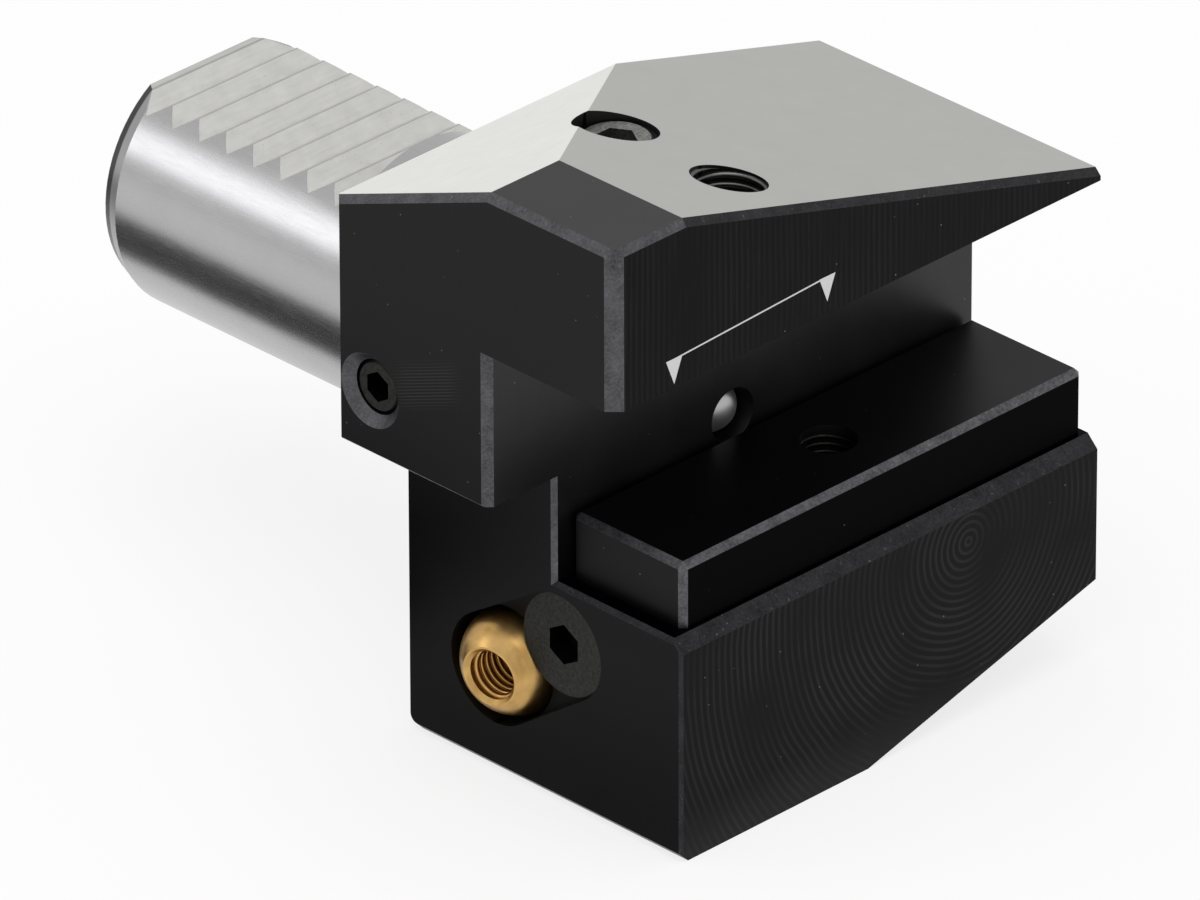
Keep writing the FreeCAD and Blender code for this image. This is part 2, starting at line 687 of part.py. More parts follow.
def build_bar_spring():
    """A coil spring between the washer and the shoulder in the block, swept in short straight steps."""
    wire = size("spring_wire_radius")
    length = size("spring_length - 2 * spring_end_clearance") - 2 * wire
    steps = SPRING_STEPS_PER_TURN * SIZES["spring_turns"]
    sections = []
    for step in range(steps + 1):
        sections.append(wire_section(step / SPRING_STEPS_PER_TURN, length * step / steps, wire))
    spring = doc.addObject("Part::Feature", "bar_spring")
    spring.Label = "bar_spring"
    spring.Shape = Part.makeLoft(sections, True, True)
    place(spring, BAR_MIDDLE, BAR_CENTRE_LINE, f"{WASHER_TOP} + spring_end_clearance + spring_wire_radius")
    PIECES.append(spring)


def wire_section(turns, height, wire):
    """The many-sided section of the spring's wire after so many turns."""
    out = Vector(math.cos(math.tau * turns), math.sin(math.tau * turns), 0)
    middle = out * size("spring_radius") + Vector(0, 0, height)
    corners = []
    for side in range(SPRING_WIRE_SIDES):
        angle = math.tau * side / SPRING_WIRE_SIDES
        corners.append(middle + out * (wire * math.cos(angle)) + Vector(0, 0, wire * math.sin(angle)))
    return Part.makePolygon(corners + corners[:1])


# The nozzle

def build_coolant_nozzle():
    """The ball with a flat face, a threaded bore for a jet tube and a narrower feed bore behind it."""
    nozzle = new_body("coolant_nozzle")
    ball = nozzle.newObject("PartDesign::AdditiveSphere", "ball")
    bind(ball, "Radius", "nozzle_radius")
    doc.recompute()
    drill(nozzle, "mouth_face", "XY_Plane", ("0", "0"), f"nozzle_radius + {PAST}", "nozzle_radius",
          "nozzle_face_distance", reverse=True)
    drill(nozzle, "jet_thread", "XY_Plane", ("0", "0"), "nozzle_thread_radius", "nozzle_thread_depth",
          "nozzle_face_distance")
    drill(nozzle, "feed_bore", "XY_Plane", ("0", "0"), "nozzle_feed_radius", "3 * nozzle_radius",
          "nozzle_face_distance")
    break_edges(nozzle, "mouth_edge", lambda p: near(p.z, "nozzle_face_distance")
                and math.hypot(p.x, p.y) < size("nozzle_thread_radius") + SAME, "nozzle_mouth_break")
    tilt = math.radians(size("nozzle_tilt"))
    place(nozzle, NOZZLE_X, "-nozzle_back_inset", "-nozzle_drop", (-math.cos(tilt), -math.sin(tilt), 0))


def build_ball_screw():
    """The countersunk screw whose head keeps the ball in its seat."""
    screw = socket_screw("nozzle_clamp_screw", [
        ("0", "0"), ("ball_screw_head_radius", "0"),
        ("ball_screw_radius", "ball_screw_radius - ball_screw_head_radius"),
        ("ball_screw_radius", "head_screw_break - ball_screw_length"),
        ("ball_screw_radius - head_screw_break", "-ball_screw_length"), ("0", "-ball_screw_length"),
    ], "ball_screw_socket", "ball_screw_socket_depth")
    place(screw, f"ball_screw_sink - {LOWER_LEFT}", "-ball_screw_back_inset", "-ball_screw_drop", LEFT)


# The valve screw and the plugs

def build_plugs():
    valve = set_screw("coolant_valve_screw", "valve_radius", "valve_length", "valve_socket",
                      "valve_socket_depth")
    place(valve, "valve_sink - half_width", "-valve_back_inset", "valve_height", LEFT)
    rear_top = f"({HOLE_MOUTH} - rear_plug_sink)"
    rear = set_screw("rear_top_plug", "top_hole_radius", f"({rear_top} - {UPPER_DRILLING} - rear_plug_gap)",
                     "plug_socket", "plug_socket_depth")
    place(rear, "-top_hole_offset", "-rear_hole_inset", rear_top, UP)
    front = set_screw("front_top_plug", "top_hole_radius", "front_plug_length", "plug_socket",
                      "plug_socket_depth")
    place(front, "-top_hole_offset", "-front_hole_inset",
          f"{TOP_HOLE_FLOOR} + front_plug_gap + front_plug_length", UP)
    cross = set_screw("cross_drilling_plug", "small_plug_radius", "small_plug_length", "small_plug_socket",
                      "small_plug_socket_depth")
    place(cross, "half_width - small_plug_sink", "-rear_hole_inset", "valve_height", RIGHT)
    upper = set_screw("upper_drilling_plug", "small_plug_radius", "small_plug_length", "small_plug_socket",
                      "small_plug_socket_depth")
    place(upper, "-top_hole_offset", "-small_plug_sink", UPPER_DRILLING, BACK)
    end = set_screw("shank_end_plug", "top_hole_radius", "end_plug_length", "plug_socket",
                    "plug_socket_depth")
    place(end, "0", "shank_length - small_plug_sink", "0", BACK)
    ball = doc.addObject("Part::Sphere", "wall_drilling_ball")
    ball.Label = "wall_drilling_ball"
    bind(ball, "Radius", "axis_drilling_radius")
    place(ball, "0", "wall_plug_sink + axis_drilling_radius - slot_wall_depth", "0")
    PIECES.append(ball)


# The seal rings

def seal_ring(label, ring_radius, section, across, along, up, out):
    ring = doc.addObject("Part::Torus", label)
    ring.Label = label
    bind(ring, "Radius1", ring_radius)
    bind(ring, "Radius2", section)
    place(ring, across, along, up, out)
    PIECES.append(ring)


def build_seals():
    seal_ring("nozzle_seal_ring", "nozzle_seal_radius", "nozzle_seal_section",
              f"{NOZZLE_X} + {NOZZLE_SEAL_OFFSET}", "-nozzle_back_inset", "-nozzle_drop", LEFT)
    flange_ring = "shank_radius + flange_groove_inset + flange_seal_section + seal_groove_side_gap / 2"
    seal_ring("flange_seal_ring", flange_ring, "flange_seal_section", "0", "-flange_seal_section", "0", BACK)
    seal_ring("upper_inlet_seal", "face_seal_radius", "face_seal_section",
              "-upper_inlet_offset", "-face_seal_section", "valve_height", BACK)
    seal_ring("lower_inlet_seal", "face_seal_radius", "face_seal_section",
              LOWER_INLET[0], "-face_seal_section", LOWER_INLET[1], BACK)
    seal_ring("tool_port_seal", "port_seal_radius", "port_seal_section",
              "-top_hole_offset", "-front_hole_inset", "seat_height + port_seal_section", DOWN)


def check_and_write():
    """Stops at the first failed feature or shape, and only then writes each piece to its own file."""
    doc.recompute()
    for thing in doc.Objects:
        if "Invalid" in thing.State or "Error" in thing.State:
            raise ValueError(f"{thing.Name} is {thing.State}")
    for piece in PIECES:
        if piece.Shape.isNull() or not piece.Shape.isValid():
            raise ValueError(f"{piece.Label} has no valid shape")
    os.makedirs("parts", exist_ok=True)
    for piece in PIECES:
        piece.Shape.exportStep(f"parts/{piece.Label}.step")


build_holder_body()
build_clamp_bar()
build_clamp_screws()
build_bar_retainer()
build_coolant_nozzle()
build_ball_screw()
build_plugs()
build_seals()
check_and_write()
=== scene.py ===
"""Radial tool holder: finishes for the CAD pieces, the threads that show, and the studio.

Lengths are metres in the part's frame: the origin is the shank's axis at the mating face, +Y runs out along
the shank and +Z is up. The shaders read object coordinates and turn them into millimetres.
"""

import math

import bpy
from mathutils import Matrix, Vector


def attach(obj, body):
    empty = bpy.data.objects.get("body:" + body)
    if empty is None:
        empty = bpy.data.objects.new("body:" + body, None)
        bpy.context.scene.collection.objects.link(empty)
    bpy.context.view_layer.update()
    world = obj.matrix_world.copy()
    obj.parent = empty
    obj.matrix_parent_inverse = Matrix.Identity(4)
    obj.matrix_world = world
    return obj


bl_info = {
    "name": "Radial Tool Holder",
    "version": (1, 0, 0),
    "blender": (4, 5, 0),
    "location": "3D View > Sidebar > Tool Holder",
    "description": "Finishes, threads and a studio for a radial tool holder",
    "category": "Object",
}

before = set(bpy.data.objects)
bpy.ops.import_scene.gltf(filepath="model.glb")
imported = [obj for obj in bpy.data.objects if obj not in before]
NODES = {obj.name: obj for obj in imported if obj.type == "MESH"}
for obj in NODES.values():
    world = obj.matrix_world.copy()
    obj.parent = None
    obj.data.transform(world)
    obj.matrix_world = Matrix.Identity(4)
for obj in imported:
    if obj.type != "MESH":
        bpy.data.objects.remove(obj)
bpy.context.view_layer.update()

MM = 0.001

# The block's planes and places, in millimetres
HALF_WIDTH = 35.0
PROJECTION = 40.0
SLOT_WALL = 22.0
SEAT_HEIGHT = 20.5
TOP_HEIGHT = 38.7
RIDGE = -24.7
LEDGE_HEIGHT = -9.3
LOWER_LEFT = -25.6
FLOOR_HEIGHT = -34.8
BOTTOM_ROUND = 2.0
TOP_SLOPE = 16.9 / 59.7
TOP_NORMAL = Vector((TOP_SLOPE, 0.0, 1.0)).normalized()
BEVEL_NORMAL = Vector((0.0, 8.5, 22.0)).normalized()
BOTTOM_SLOPE_NORMAL = Vector((8.8, 0.0, -33.5)).normalized()
SHANK_RADIUS = 15.0
SHANK_TAPER = 1.0
SHANK_BORE = 4.5
SHANK_END = 55.5
# The width of the dark ring painted at the taper's end as a dark reflection
SHANK_RING = 1.0
TOOTH_ROOT = 10.5
FIRST_CREST = 54.5
TOOTH_PITCH = 4.0
BAR_SCREW = (5.6, -30.25)
BAR_HOLE = 3.3
TOP_HOLE = (-10.0, -31.3)
VALVE = (-5.2, 10.0)
VALVE_MOUTH = 4.6
BALL_CENTRE = (-22.2, -13.3, -22.8)
BALL_TILT = math.radians(9.5)
BALL_POCKET_TOP = -9.5
BALL_POCKET_SPAN = (-30.0, -6.0)

# How near a plane, in millimetres, a face counts as lying on it, or as a broken edge beside it
ON_PLANE = 0.05
BROKEN_EDGE = 1.8
# How far two directions may differ, in radians, and still count as the same
SAME_DIRECTION = 0.02
# The least part of a unit normal along an axis: square to it, on the bar's flats, on a tooth, on the taper
ALONG_AXIS = 0.999
BAR_FLAT = 0.95
TOOTH_SLOPE = 0.5
TAPER_SLOPE = 0.2

# The marks on the finishes
MILLING_CENTRE = (16.0, 0.0, -14.0)
MILLED_PATCH = (-13.3, 13.8)
MILLING_TILT = math.radians(21.8)
RANGE_MARK_LEFT = (-26.55, 23.8)
RANGE_MARK_RIGHT = (-4.75, 24.75)
RANGE_LINE_HALF_WIDTH = 0.09
TRIANGLE_HEIGHT = 2.9
TRIANGLE_HALF_WIDTH = 1.15
# Noise on dark steel: scale per millimetre, and detail
BLOTCH = (0.12, 4.0)
FINE_GRAIN = (2.4, 3.0)
# Heights between which painted shade darkens the left faces downwards, and darkens them again towards the
# floor
LEFT_FADE = (-12.0, 18.0)
FOOT_FADE = (-31.0, -15.0)
# Where the milled patch fades: along the flange and up from the patch's middle, and behind the flange's face
PATCH_FADE_ALONG = (2.8, 5.4)
PATCH_FADE_UP = (1.4, 3.2)
PATCH_FADE_DEPTH = (0.1, 0.5)
# Heights above the floor between which the lower front grows lighter towards the floor
BOTTOM_LIGHTENING = (0.3, 5.8)
# The dark line painted on each tooth's crest as shade, as shares of the pitch
CREST_LINE_START = 0.955
CREST_LINE_END = 0.02

# The threads: the ridge's outer radius, its depth and its length, in millimetres
JET_THREAD = (2.72, 0.34, 5.4)
TOP_THREAD = (4.05, 0.42, 6.6)
BAR_THREAD = (3.05, 0.3, 2.7)
BAR_THREAD_PITCH = 0.9
# Where each starts: from the ball's middle, and as heights
JET_THREAD_START = -1.2
TOP_THREAD_START = 29.4
BAR_THREAD_START = -5.0
TOP_THREAD_SINK = 0.35
THREAD_STEPS = 40
RIDGE_SHARE = 0.4
MERGE_DISTANCE = 1e-6

PLUGS = ("cross_drilling_plug", "upper_drilling_plug", "shank_end_plug")


# Shaders

class Signal:
    """A shader value on which Python's operators add the math nodes."""

    def __init__(self, tree, output):
        self.tree = tree
        self.output = output

    def maths(self, operation, *others, clamp=False):
        node = self.tree.nodes.new("ShaderNodeMath")
        node.operation = operation
        node.use_clamp = clamp
        for socket, value in zip(node.inputs, (self,) + others):
            plug(self.tree, socket, value)
        return Signal(self.tree, node.outputs[0])

    def __add__(self, other):
        return self.maths("ADD", other)

    def __sub__(self, other):
        return self.maths("SUBTRACT", other)

    def __mul__(self, other):
        return self.maths("MULTIPLY", other)

    def __truediv__(self, other):
        return self.maths("DIVIDE", other)

    def __gt__(self, other):
        return self.maths("GREATER_THAN", other)

    def __lt__(self, other):
        return self.maths("LESS_THAN", other)

    def __neg__(self):
        return self.maths("MULTIPLY", -1.0)

    def __abs__(self):
        return self.maths("ABSOLUTE")

    def __rsub__(self, other):
        return -self + other

    __radd__ = __add__
    __rmul__ = __mul__

    def clamped(self):
        return self.maths("ADD", 0.0, clamp=True)

    def ramp(self, low, high):
        """Runs from 0 to 1 as the value runs from low to high, and stays there outside."""
        return ((self - low) / (high - low)).clamped()


def plug(tree, socket, value):
    """Links a signal or a node's output to a socket, or sets the socket's own value."""
    if isinstance(value, Signal):
        tree.links.new(value.output, socket)
    elif isinstance(value, bpy.types.NodeSocket):
        tree.links.new(value, socket)
    else:
        socket.default_value = value


class Finish:
    """A material with a Principled shader, and the means to add nodes to it."""

    def __init__(self, name, color, metallic, roughness, **sockets):
        self.material = bpy.data.materials.new(name)
        self.material.use_nodes = True
        self.tree = self.material.node_tree
        self.shader = self.tree.nodes["Principled BSDF"]
        self.set("Base Color", (*color, 1.0))
        self.set("Metallic", metallic)
        self.set("Roughness", roughness)
        for socket, value in sockets.items():
            self.set(socket.replace("_", " "), value)

    def set(self, socket, value):
        plug(self.tree, self.shader.inputs[socket], value)

    def node(self, kind, settings=None, **sockets):
        """Adds any node. Sockets are named with _ for a space."""
        node = self.tree.nodes.new(kind)
        for field, value in (settings or {}).items():
            setattr(node, field, value)
        for socket, value in sockets.items():
            plug(self.tree, node.inputs[socket.replace("_", " ")], value)
        return node

    def signal(self, output):
        return Signal(self.tree, output)

    def place(self):
        """The place on the piece, in millimetres, as a vector and as three signals."""
        coordinates = self.node("ShaderNodeTexCoord").outputs["Object"]
        scaled = self.node("ShaderNodeVectorMath", {"operation": "SCALE"}, Scale=1.0 / MM)
        plug(self.tree, scaled.inputs[0], coordinates)
        parts = self.node("ShaderNodeSeparateXYZ", Vector=scaled.outputs[0])
        return scaled.outputs[0], [self.signal(output) for output in parts.outputs]

    def stretched(self, vector, factors, turn=(0.0, 0.0, 0.0)):
        """The vector turned and then scaled along each axis."""
        mapping = self.node("ShaderNodeMapping", None, Vector=vector, Rotation=turn, Scale=factors)
        return mapping.outputs[0]

    def noise(self, vector, scale, detail=2.0, roughness=0.5):
        node = self.node("ShaderNodeTexNoise", None, Vector=vector, Scale=scale, Detail=detail,
                         Roughness=roughness)
        return self.signal(node.outputs["Fac"])

    def specks(self, vector, spacing, share, softness=0.15):
        """Small round spots: 1 inside, 0 outside. The share is a spot's radius against the spacing."""
        cells = self.node("ShaderNodeTexVoronoi", {"feature": "F1"}, Vector=vector, Scale=1.0 / spacing)
        away = self.signal(cells.outputs["Distance"])
        pick = self.node("ShaderNodeSeparateColor", None, Color=cells.outputs["Color"])
        chance = self.signal(pick.outputs[0])
        return (1.0 - away.ramp(share * (1 - softness), share)) * chance.ramp(0.55, 0.6)

    def mix(self, amount, first, second):
        node = self.tree.nodes.new("ShaderNodeMix")
        node.data_type = "RGBA"
        plug(self.tree, node.inputs["Factor"], amount)
        for socket, value in (("A", first), ("B", second)):
            color = next(s for s in node.inputs if s.name == socket and s.type == "RGBA")
            plug(self.tree, color, value if not isinstance(value, tuple) else (*value, 1.0))
        return next(s for s in node.outputs if s.type == "RGBA")

    def bump(self, height, distance_mm):
        node = self.node("ShaderNodeBump", None, Height=height, Strength=1.0, Distance=distance_mm * MM)
        self.set("Normal", node.outputs[0])


def gray(value, tint=(1.0, 1.0, 1.0)):
    """The linear colour of an sRGB grey from 0 to 255, with a tint."""
    level = value / 255
    linear = level / 12.92 if level <= 0.04045 else ((level + 0.055) / 1.055) ** 2.4
    return tuple(linear * part for part in tint)


COOL = (0.99, 0.98, 1.06)
WARM = (1.0, 0.995, 0.955)
OXIDE = (0.98, 1.0, 0.93)
PALE_SPECK = gray(150)
BROWN_SPECK = (0.3, 0.26, 0.2)
BRASS = (0.66, 0.42, 0.16)
DARK_BRASS = (0.46, 0.27, 0.085)
PALE_BRASS = (0.7, 0.45, 0.17)
THREAD_BRASS = (0.56, 0.35, 0.13)
FLOOR_PAINT = (0.96, 0.96, 0.96, 1.0)
FLAG_PAINT = (0.07, 0.07, 0.07, 1.0)


def blackened(name, level, rim=1.0):
    """Blackened steel: near black, with faint blotches and pale specks. A low rim dims slanting views as
    painted shade.
    """
    finish = Finish(name, gray(level), 1.0, 0.4, Specular_Tint=(rim, rim, rim, 1.0))
    vector, _ = finish.place()
    blotch = finish.noise(vector, *BLOTCH)
    fine = finish.noise(vector, *FINE_GRAIN)
    waves = finish.noise(vector, 1.0, 2.0)
    shade = blotch * 0.4 + fine * 0.25 + 0.18
    color = finish.mix(shade.clamped(), gray(level * 0.78), gray(level * 1.24))
    spots = finish.specks(vector, 1.9, 0.045)
    finish.set("Base Color", finish.mix(spots * 0.5, color, PALE_SPECK))
    finish.set("Roughness", (0.34 + blotch * 0.14).clamped())
    finish.bump(fine * 0.6 + waves * 0.4, 0.004)
    return finish


def left_face():
    """The left faces: blackened, with painted shade that darkens them downwards, and fine milling lines
    beside the valve screw.
    """
    finish = Finish("left_face", gray(31), 1.0, 0.4)
    vector, (x, y, z) = finish.place()
    blotch = finish.noise(vector, *BLOTCH)
    fine = finish.noise(vector, *FINE_GRAIN)
    # Painted shade: darker downwards, and darker again near the floor
    lower = 1.0 - z.ramp(*LEFT_FADE)
    level = finish.mix((blotch * 0.5 + fine * 0.3 + 0.1).clamped(), gray(30), gray(42))
    level = finish.mix(lower * 0.85, level, gray(18))
    level = finish.mix(1.0 - z.ramp(*FOOT_FADE), level, gray(2))
    tilted = finish.stretched(vector, (1.0, 1.0, 1.0), (MILLING_TILT, 0.0, 0.0))
    waves = finish.node("ShaderNodeTexWave", {"wave_type": "BANDS", "bands_direction": "Z"}, Vector=tilted,
                        Scale=0.92, Distortion=0.5, Detail=1.0)
    from_patch = y - MILLED_PATCH[0]
    height = z - MILLED_PATCH[1] + from_patch * math.tan(MILLING_TILT)
    near_valve = (1.0 - abs(from_patch).ramp(*PATCH_FADE_ALONG)) * (1.0 - abs(height).ramp(*PATCH_FADE_UP))
    on_flange = 1.0 - (x + HALF_WIDTH).ramp(*PATCH_FADE_DEPTH)
    lines = finish.signal(waves.outputs["Fac"]).ramp(0.55, 0.9) * near_valve * on_flange
    spots = finish.specks(vector, 1.9, 0.045)
    lined = finish.mix(lines * 0.45, level, gray(70))
    finish.set("Base Color", finish.mix(spots * 0.5, lined, PALE_SPECK))
    finish.set("Roughness", (0.34 + blotch * 0.14).clamped())
    finish.bump(fine * 0.6 + lines * 0.4, 0.004)
    return finish


def lower_front():
    """The lower block's front: blackened, with the arcs that a milling cutter left."""
    finish = Finish("lower_front", gray(24), 1.0, 0.4)
    vector, (_, _, z) = finish.place()
    from_centre = finish.node("ShaderNodeVectorMath", {"operation": "SUBTRACT"})
    plug(finish.tree, from_centre.inputs[0], vector)
    from_centre.inputs[1].default_value = MILLING_CENTRE
    rings = finish.node("ShaderNodeTexWave", {"wave_type": "RINGS", "rings_direction": "Y"},
                        Vector=from_centre.outputs[0], Scale=0.36, Distortion=3.2, Detail=1.5,
                        Detail_Scale=0.3)
    patch = finish.noise(vector, 0.09, 2.0)
    fine = finish.noise(vector, 2.2, 3.0)
    arcs = finish.signal(rings.outputs["Fac"]).ramp(0.45, 0.95) * patch.ramp(0.34, 0.62)
    # Lighter towards the floor
    bottom = 1.0 - (z - FLOOR_HEIGHT).ramp(*BOTTOM_LIGHTENING)
    base = finish.mix((fine * 0.5 + 0.2).clamped(), gray(10), gray(20))
    marked = finish.mix((arcs * 0.4).clamped(), base, gray(56))
    lightened = finish.mix(bottom * 0.3, marked, gray(60))
    spots = finish.specks(vector, 1.8, 0.05)
    finish.set("Base Color", finish.mix(spots * 0.5, lightened, PALE_SPECK))
    finish.set("Roughness", (0.36 + fine * 0.14).clamped())
    finish.bump(fine * 0.5 + arcs * 0.5, 0.005)
    return finish


def front_face():
    """The overhang's front: blackened, with upright milling bands and a pale range mark."""
    finish = Finish("overhang_front", gray(27), 1.0, 0.4)
    vector, (x, _, z) = finish.place()
    bands = finish.node("ShaderNodeTexWave", {"wave_type": "BANDS", "bands_direction": "X"}, Vector=vector,
                        Scale=0.4, Distortion=2.6, Detail=2.0, Detail_Scale=0.22)
    strength = finish.noise(finish.stretched(vector, (1.0, 1.0, 0.4)), 0.12, 3.0)
    lines = finish.noise(finish.stretched(vector, (1.0, 1.0, 0.05)), 3.0, 2.0)
    fine = finish.noise(vector, 2.2, 3.0)
    ridges = finish.signal(bands.outputs["Fac"]).ramp(0.5, 1.0) * strength.ramp(0.3, 0.7)
    base = finish.mix((ridges * 0.6 + lines.ramp(0.5, 0.85) * 0.3).clamped(), gray(9), gray(34))
    spots = finish.specks(vector, 1.7, 0.05)
    speckled = finish.mix(spots * 0.6, base, PALE_SPECK)
    mark = range_mark(x, z)
    finish.set("Base Color", finish.mix(mark, speckled, gray(212)))
    finish.set("Metallic", 1.0 - mark)
    finish.set("Roughness", (0.34 + fine * 0.14 + mark * 0.2).clamped())
    finish.bump(fine * 0.5 + lines * 0.5, 0.005)
    return finish


def range_mark(x, z):
    """1 on the two small triangles and on the thin line that joins their tops."""
    (left, low), (right, high) = RANGE_MARK_LEFT, RANGE_MARK_RIGHT
    line_height = (x - left) * ((high - low) / (right - left)) + low - RANGE_LINE_HALF_WIDTH
    line = (abs(z - line_height) < RANGE_LINE_HALF_WIDTH) * (x > left) * (x < right)
    return (line + triangle(x, z, *RANGE_MARK_LEFT) + triangle(x, z, *RANGE_MARK_RIGHT)).clamped()


def triangle(x, z, middle, top):
    """1 inside a triangle that stands on its tip."""
    below = (top - z) / TRIANGLE_HEIGHT
    half = TRIANGLE_HALF_WIDTH * (1.0 - below)
    return (below > 0.0) * (abs(x - middle) < half)


def edge_wear_and_highlight(name, low, high, bright=0.35):
    """Broken edges: greyer than the faces, partly wear and partly painted highlight; fine marks across them,
    and a few painted glints.
    """
    finish = Finish(name, gray((low + high) / 2, COOL), 1.0, 0.38)
    vector, _ = finish.place()
    across = finish.noise(vector, 3.4, 3.0, 0.7)
    soft = finish.noise(vector, 0.45, 3.0)
    shade = (across.ramp(0.3, 0.75) * 0.7 + soft.ramp(0.3, 0.7) * 0.4 - 0.05).clamped()
    lightened = finish.mix(shade, gray(low, COOL), gray(high, COOL))
    # A few bright spots painted as glints on burnished places
    rubbed_glints = finish.noise(vector, 1.6, 4.0, 0.8).ramp(0.62, 0.72)
    finish.set("Base Color", finish.mix(rubbed_glints * bright, lightened, gray(175, COOL)))
    finish.set("Roughness", (0.32 + across * 0.2).clamped())
    finish.bump(across, 0.01)
    return finish


def ground(name, level, tint, grain, roughness=0.34, grain_depth=0.16, bump=0.002):
    """Ground bright steel with fine marks along one direction."""
    finish = Finish(name, gray(level, tint), 1.0, roughness)
    vector, _ = finish.place()
    lines = finish.noise(finish.stretched(vector, grain), 3.2, 3.0, 0.65)
    soft = finish.noise(vector, 0.25, 2.0)
    shade = ((lines - 0.5) * grain_depth + (soft - 0.5) * 0.1 + 0.5).clamped()
    finish.set("Base Color", finish.mix(shade, gray(level - 38, tint), gray(level + 34, tint)))
    finish.set("Roughness", (roughness + (lines - 0.5) * 0.12).clamped())
    finish.bump(lines, bump)
    return finish


def shank_end():
    """The shank's end taper: bright, with a dark ring painted where it meets the end face, as a painted dark
    reflection.
    """
    finish = Finish("shank_end", gray(178), 1.0, 0.3)
    _, (_, y, _) = finish.place()
    # Painted reflection: a dark ring at the end of the taper
    ring = y.ramp(SHANK_END - SHANK_RING - 0.1, SHANK_END - SHANK_RING + 0.1)
    finish.set("Base Color", finish.mix(ring, gray(160), gray(62)))
    return finish


def tooth_faces():
    """The shank's toothed flat: ground, warm, with fine lines along the teeth, faint brownish specks and
    painted shade on each crest.
    """
    finish = Finish("tooth_faces", gray(206, WARM), 1.0, 0.4)
    vector, (_, y, _) = finish.place()
    grain = finish.noise(finish.stretched(vector, (0.12, 1.0, 1.0)), 2.4, 3.0)
    cloud = finish.noise(vector, 0.5, 3.0)
    patch = finish.noise(vector, 0.2, 3.0)
    spots = finish.specks(vector, 0.5, 0.2, 0.8) * patch.ramp(0.44, 0.56)
    clean = finish.mix((grain * 0.5 + cloud * 0.5).ramp(0.3, 0.7), gray(199, WARM), gray(214, WARM))
    # Painted shade: a dark line along each tooth's crest
    past_crest = ((FIRST_CREST - y) / TOOTH_PITCH).maths("FRACT")
    edge_line = (past_crest > CREST_LINE_START) + (past_crest < CREST_LINE_END)
    lined = finish.mix(edge_line.clamped() * 0.45, clean, gray(120, WARM))
    finish.set("Base Color", finish.mix(spots * 0.5, lined, BROWN_SPECK))
    finish.set("Roughness", (0.38 + cloud * 0.1).clamped())
    return finish


def brass():
    """Turned brass with a golden tone and fine rubbed marks."""
    finish = Finish("turned_brass", BRASS, 1.0, 0.28)
    vector, _ = finish.place()
    wear = finish.noise(vector, 0.5, 3.0)
    turned = finish.noise(finish.stretched(vector, (1.0, 0.1, 0.1)), 3.0, 3.0)
    shade = (wear.ramp(0.3, 0.7) * 0.7 + turned.ramp(0.3, 0.7) * 0.3).clamped()
    finish.set("Base Color", finish.mix(shade, DARK_BRASS, PALE_BRASS))
    finish.set("Roughness", (0.26 + wear * 0.14).clamped())
    finish.bump(turned, 0.003)
    return finish


def screw_finish(name, low, high):
    """Black oxide with a touch of green, as on socket screws."""
    finish = Finish(name, gray(low, OXIDE), 1.0, 0.4)
    vector, _ = finish.place()
    fine = finish.noise(vector, 3.0, 3.0)
    shade = fine.ramp(0.3, 0.75)
    finish.set("Base Color", finish.mix(shade, gray(low, OXIDE), gray(high, OXIDE)))
    finish.bump(fine, 0.004)
    return finish


def make_finishes():
    """All the finishes, by the part of the holder that takes them."""
    return {
        "face": blackened("blackened_face", 26),
        "left_face": left_face(),
        "overhang_front": front_face(),
        "lower_front": lower_front(),
        # Lighter copies of the blackened steel: painted light on the top, which faces up, and on the slot's
        # wall
        "top_face": blackened("blackened_top", 65),
        "slot_face": blackened("slot_face", 58),
        # A darker copy with a low rim: painted shade on the ledge
        "ledge": blackened("ledge", 12, 0.6),
        # Broken edges greyer than the faces: partly wear, partly a painted highlight
        "edge": edge_wear_and_highlight("edge_wear_and_highlight", 62, 108),
        # A darker copy of the edge finish: painted shade on the low edges and the front edges right of the
        # ridge
        "dark_edge": edge_wear_and_highlight("dark_edge", 36, 66, 0.4),
        "ground_top": ground("ground_top", 182, WARM, (0.05, 1.0, 1.0), 0.36),
        # Brighter than the other ground faces: the bevel's bright reflection, painted into its colour
        "back_bevel": ground("back_bevel", 237, WARM, (0.1, 1.0, 1.0), 0.34, 0.3, 0.004),
        "mating_face": ground("mating_face", 200, WARM, (1.0, 1.0, 0.08), 0.34),
        "shank": ground("ground_shank", 178, (1.0, 1.0, 1.0), (1.0, 0.12, 1.0), 0.26, 0.12, 0.0015),
        "teeth": tooth_faces(),
        "shank_end": shank_end(),
        "shank_break": blackened("shank_break", 52),
        "bore": Finish("bored_steel", gray(70), 1.0, 0.4),
        # The bar's top: a lighter copy, painted light against the overhang's dark reflection
        "bar": blackened("bar_face", 32),
        # The bar's front: a darker copy with a low rim, painted shade
        "bar_front": blackened("bar_front", 8, 0.6),
        # The bar's edges: lighter, partly a painted highlight
        "bar_edge": edge_wear_and_highlight("bar_edge", 58, 120, 0.45),
        "screw": screw_finish("black_oxide", 36, 56),
        # A lighter copy of the black oxide for the plugs in the top: painted light on parts that face up
        "lit_top_screw": screw_finish("lit_top_oxide", 96, 150),
        "bright": Finish("bright_steel", gray(205), 1.0, 0.2),
        "brass": brass(),
        "rubber": Finish("seal_rubber_finish", gray(32), 0.0, 0.6),
        "thread": Finish("thread_steel", gray(100, WARM), 1.0, 0.3),
        "brass_thread": Finish("brass_thread", THREAD_BRASS, 1.0, 0.28),
    }


# The block's faces

